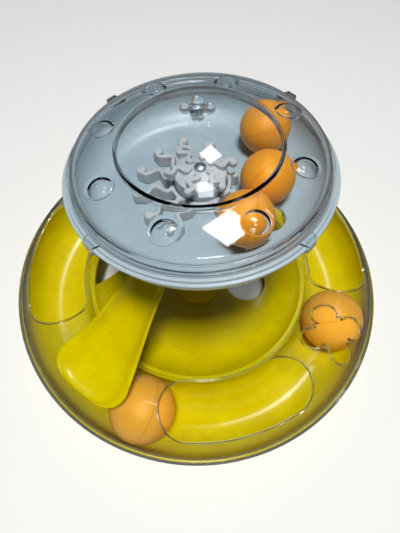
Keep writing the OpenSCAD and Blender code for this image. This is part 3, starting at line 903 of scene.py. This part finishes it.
hub = makeHub()
handOver(hub, ribMaterial, "pivot", "pale_plastic", "hub_cap")
print("hub:", len(hub.data.polygons), "faces")

# Pan head screws with a cross recess
panScrew = {
    "shankRadius": 1.5,
    "tipShare": 0.6,          # of the shank's radius, at its end
    "tipLength": 0.8,
    "headRadius": 2.8,
    "headHeight": 1.7,
    "wallShare": 0.5,         # of the head's height, below its dome
    "domeShare": 0.92,        # of the head's radius
    "domeSteps": 6,
    "edgeRound": 0.25,
    "spinSteps": 48,
    "crossLong": 3.0,
    "crossWide": 0.75,
    "crossDeep": 0.9,
    "crossTaper": 0.6,
    "capShank": 6.5,          # length
    "capFoot": 8.5,           # mm above the pivot
    "postShank": 6.0,
    "postCount": 3,
    "postFirst": 54.6,        # degrees
    "postCircle": 12.0,       # mm from the post's axis
    "postTop": 17.5,          # height of the shanks' ends
}


def makeScrew(shankLength):  # stands on its shank's end, head up
    s = panScrew
    top = shankLength + s["headHeight"]
    dome = (s["headRadius"] ** 2 + s["headHeight"] ** 2) / s["headHeight"]
    spread = math.degrees(math.asin(s["headRadius"] * s["domeShare"] / dome))
    points = ([(0, 0), (s["shankRadius"] * s["tipShare"], 0), (s["shankRadius"], s["tipLength"]),
               (s["shankRadius"], shankLength), (s["headRadius"], shankLength),
               (s["headRadius"], shankLength + s["headHeight"] * s["wallShare"])]
              + arcPoints((0, top - dome), dome, spread, 0, s["domeSteps"]))
    screw = drawProfile("screw", points)
    spinProfile(screw, s["spinSteps"])
    roundEdges(screw, s["edgeRound"], 2)
    bpy.ops.object.select_all(action="DESELECT")
    bpy.ops.mesh.primitive_cube_add(size=1)
    cross = bpy.context.object
    seat(cross, Matrix.Translation((0, 0, top * mm))
         @ Matrix.Diagonal((s["crossLong"] * mm, s["crossWide"] * mm, 2 * s["crossDeep"] * mm, 1)))
    bpy.ops.object.mode_set(mode="EDIT")
    bpy.ops.mesh.select_all(action="SELECT")
    bpy.ops.mesh.duplicate()
    bpy.ops.transform.rotate(value=math.pi / 2, orient_axis="Z", center_override=(0, 0, 0))
    choose(cross, "FACE", lambda f: f.normal.z < -0.9)
    bpy.ops.transform.resize(value=(s["crossTaper"], s["crossTaper"], 1))
    bpy.ops.object.mode_set(mode="OBJECT")
    cutOrAdd(screw, cross, "DIFFERENCE", crossed=True)
    return screw


# the saucer's cap screw, and three under the dish that hold the post
capScrew = makeScrew(panScrew["capShank"])
capScrew.name = "cap_screw_pan"
seat(capScrew, saucerPlace @ Matrix.Translation((0, 0, panScrew["capFoot"] * mm)))
handOver(capScrew, steelMaterial, "pivot", "screw_steel", "cap_screw")
postPlaces = [turn @ Matrix.Translation(Vector((panScrew["postCircle"], 0, panScrew["postTop"])) * mm)
              @ Matrix.Rotation(math.pi, 4, "X")
              for turn in turnsFrom(panScrew["postFirst"], 360 / panScrew["postCount"], panScrew["postCount"])]
postScrews = joinPieces(copiesTo(postPlaces, makeScrew(panScrew["postShank"])))
postScrews.name = "post_screws_pan"
handOver(postScrews, steelMaterial, "base", "screw_steel", "pedestal_screws")
print("screws:", len(capScrew.data.polygons) + len(postScrews.data.polygons), "faces")

# Bead round each opening of the track's cover: it follows the opening's CAD edge on the tube's outside
coverBead = {
    "radius": 0.7,
    "resolution": 3,
    "edgeAngle": 40,          # degrees, an opening's edge is sharper
    "tubeRadius": 23.0,       # the cover's outside
    "ringRadius": 95.4,
    "tubeHeight": 24.5,
    "tolerance": 0.1,         # mm
    "lowest": 31.0,           # the cover's own rims lie lower
}


def makeBeads():
    s = coverBead
    beads = copyNode("track_cover", "cover_beads")
    bpy.ops.mesh.select_mode(type="EDGE")
    bpy.ops.mesh.select_all(action="DESELECT")
    bpy.ops.mesh.edges_select_sharp(sharpness=math.radians(s["edgeAngle"]))
    bpy.ops.object.mode_set(mode="OBJECT")
    sharp = {edge.index for edge in beads.data.edges if edge.select}

    def onOpening(edge):
        places = [beads.data.vertices[i].co / mm for i in edge.vertices]
        apart = [math.hypot(math.hypot(v.x, v.y) - s["ringRadius"], v.z - s["tubeHeight"]) for v in places]
        return (edge.index in sharp and min(v.z for v in places) > s["lowest"]
                and max(abs(d - s["tubeRadius"]) for d in apart) < s["tolerance"])

    choose(beads, "EDGE", lambda edge: not onOpening(edge))
    bpy.ops.mesh.delete(type="EDGE")
    bpy.ops.object.mode_set(mode="OBJECT")
    bpy.ops.object.convert(target="CURVE")
    beads.data.bevel_depth = s["radius"] * mm
    beads.data.bevel_resolution = s["resolution"]
    beads.data.use_fill_caps = True
    bpy.ops.object.convert(target="MESH")
    bpy.ops.object.mode_set(mode="EDIT")
    bpy.ops.mesh.select_all(action="SELECT")
    bpy.ops.mesh.remove_doubles(threshold=mergeGap)
    bpy.ops.mesh.normals_make_consistent(inside=False)
    bpy.ops.object.mode_set(mode="OBJECT")
    return beads


beads = makeBeads()
handOver(beads, clearMaterial, "base", "clear_plastic")
print("beads:", len(beads.data.polygons), "faces")

# Mouldings whose sharp edges are only broken: copies of the CAD pieces with a small round on every edge
softAngle = 35  # degrees, sharper edges are rounded
softEdges = {   # piece, width of the round in mm, finish, body and slot
    "centre_dish": ("dish_moulding", 0.45, yellowMaterial, "base", "yellow_plastic"),
    "pedestal": ("post_moulding", 0.5, yellowMaterial, "base", "yellow_plastic"),
    "saucer_bowl": ("bowl_moulding", 0.4, milkyMaterial, "saucer", "pale_plastic"),
}


def makeSoftened(nodeName, pieceName, width):
    piece = copyNode(nodeName, pieceName)
    bpy.ops.mesh.customdata_custom_splitnormals_clear()
    bpy.ops.mesh.tris_convert_to_quads()
    bpy.ops.object.mode_set(mode="OBJECT")
    applyModifier(piece, "BEVEL", {"width": width * mm, "segments": 3, "limit_method": "ANGLE",
                                   "angle_limit": math.radians(softAngle), "use_clamp_overlap": False})
    return piece


for nodeName, (pieceName, width, material, body, slotName) in softEdges.items():
    piece = makeSoftened(nodeName, pieceName, width)
    handOver(piece, material, body, slotName, nodeName)
    print(pieceName + ":", len(piece.data.polygons), "faces")

# Camera: pitch, roll and place read from the photograph's ellipses
view = {
    "place": (1.32, -124.18, 277.29),  # mm
    "pitch": 62.5915,                  # degrees below level
    "roll": 2.8496,
    "focalPixels": 401,
    "framePixels": 533,                # the photograph's long side
    "sensor": 36,                      # mm
    "nearest": 0.01,                   # m
}
cameraData = bpy.data.cameras.new("photo_camera")
cameraData.sensor_width = view["sensor"]
cameraData.lens = view["sensor"] * view["focalPixels"] / view["framePixels"]
cameraData.clip_start = view["nearest"]
camera = bpy.data.objects.new("photo_camera", cameraData)
camera.matrix_world = (Matrix.Translation(Vector(view["place"]) * mm)
                       @ Matrix.Rotation(math.radians(90 - view["pitch"]), 4, "X")
                       @ Matrix.Rotation(math.radians(view["roll"]), 4, "Z"))
bpy.context.collection.objects.link(camera)
bpy.context.scene.camera = camera

# Floor, lamps and the dim room round them
studio = {
    "floorSize": 8,           # m
    "floorFade": (0.7, 1.8),  # m from the middle, where the floor runs out into the horizon
    "floorColour": "#f6f6f4",
    "floorRoughness": 0.7,
    "horizonColour": "#989ea4",
    "ceilingColour": "#3c4d66",
    "groundColour": "#6e6a60",
    "horizonTop": 0.05,       # sine of the angle above level, as the next three
    "ceilingFoot": 0.5,
    "groundTop": -0.15,
    "groundFoot": -0.4,
}
# lamps: side and distance from the saucer in m, direction, turn in degrees, power in W
lamps = {
    "ceiling_panel": {"side": 0.3, "away": 1.5, "towards": (0.063, 0.311, 0.947), "turn": 58, "power": 4.4},
    "overhead_key": {"side": 0.32, "away": 1.5, "towards": (0.02, -0.2, 1.0), "turn": 0, "power": 27},
}
bpy.ops.object.select_all(action="DESELECT")
bpy.ops.mesh.primitive_plane_add(size=studio["floorSize"], location=(0, 0, 0))
floor = bpy.context.object
floor.name = "floor"
floorMaterial, floorTree, floorCoords = startMaterial("pale_floor")
floorShader = addNode(floorTree, "ShaderNodeBsdfPrincipled",
                      {"Base Color": linear(studio["floorColour"]),
                       "Roughness": studio["floorRoughness"]}, {})
away = addNode(floorTree, "ShaderNodeVectorMath", {"operation": "LENGTH"}, {0: floorCoords})
fading = addNode(floorTree, "ShaderNodeMapRange",
                 {"From Min": studio["floorFade"][0], "From Max": studio["floorFade"][1]},
                 {"Value": away.outputs["Value"]})
gone = addNode(floorTree, "ShaderNodeBsdfTransparent", {}, {})
floorMix = addNode(floorTree, "ShaderNodeMixShader", {},
                   {0: fading.outputs[0], 1: floorShader.outputs[0], 2: gone.outputs[0]})
addNode(floorTree, "ShaderNodeOutputMaterial", {}, {"Surface": floorMix.outputs[0]})
floor.data.materials.append(floorMaterial)
# the floor is not mirrored in the toy, and through the clear plastic the dimmer ground shows in its place
floor.visible_glossy = False
floor.visible_transmission = False

target = Vector((0, 0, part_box("saucer_lid")[0].z))
for lampName, lampSettings in lamps.items():
    lampData = bpy.data.lights.new(lampName, "AREA")
    lampData.size = lampSettings["side"]
    lampData.energy = lampSettings["power"]
    lamp = bpy.data.objects.new(lampName, lampData)
    direction = Vector(lampSettings["towards"]).normalized()
    lamp.matrix_world = (Matrix.Translation(target + direction * lampSettings["away"])
                         @ direction.to_track_quat("Z", "Y").to_matrix().to_4x4()
                         @ Matrix.Rotation(math.radians(lampSettings["turn"]), 4, "Z"))
    # the panel gives the reflections, the key gives the light and the shadows
    lamp.visible_glossy = lampName == "ceiling_panel"
    lamp.visible_diffuse = lampName == "overhead_key"
    bpy.context.collection.objects.link(lamp)

# the room: a pale horizon under a dim ceiling; it is seen, also through clear plastic, but lights nothing
world = bpy.data.worlds.new("studio")
world.use_nodes = True
worldTree = world.node_tree
worldTree.nodes.clear()
around = addNode(worldTree, "ShaderNodeTexCoord", {}, {})
height = addNode(worldTree, "ShaderNodeSeparateXYZ", {}, {"Vector": around.outputs["Generated"]})
upward = addNode(worldTree, "ShaderNodeMapRange",
                 {"From Min": studio["horizonTop"], "From Max": studio["ceilingFoot"]},
                 {"Value": height.outputs["Z"]})
ceiling = addNode(worldTree, "ShaderNodeMix",
                  {"data_type": "RGBA", 6: linear(studio["horizonColour"]),
                   7: linear(studio["ceilingColour"])}, {0: upward.outputs[0]})
downward = addNode(worldTree, "ShaderNodeMapRange",
                   {"From Min": studio["groundTop"], "From Max": studio["groundFoot"]},
                   {"Value": height.outputs["Z"]})
whole = addNode(worldTree, "ShaderNodeMix", {"data_type": "RGBA", 7: linear(studio["groundColour"])},
                {0: downward.outputs[0], 6: ceiling.outputs[2]})
room = addNode(worldTree, "ShaderNodeBackground", {}, {"Color": whole.outputs[2]})
addNode(worldTree, "ShaderNodeOutputWorld", {}, {"Surface": room.outputs[0]})
world.cycles_visibility.diffuse = False
world.cycles_visibility.glossy = False
scene = bpy.context.scene
scene.world = world
scene.view_settings.view_transform = "Standard"
scene.cycles.caustics_refractive = False
scene.cycles.caustics_reflective = False
print("studio: floor,", len(lamps), "lamps and camera")
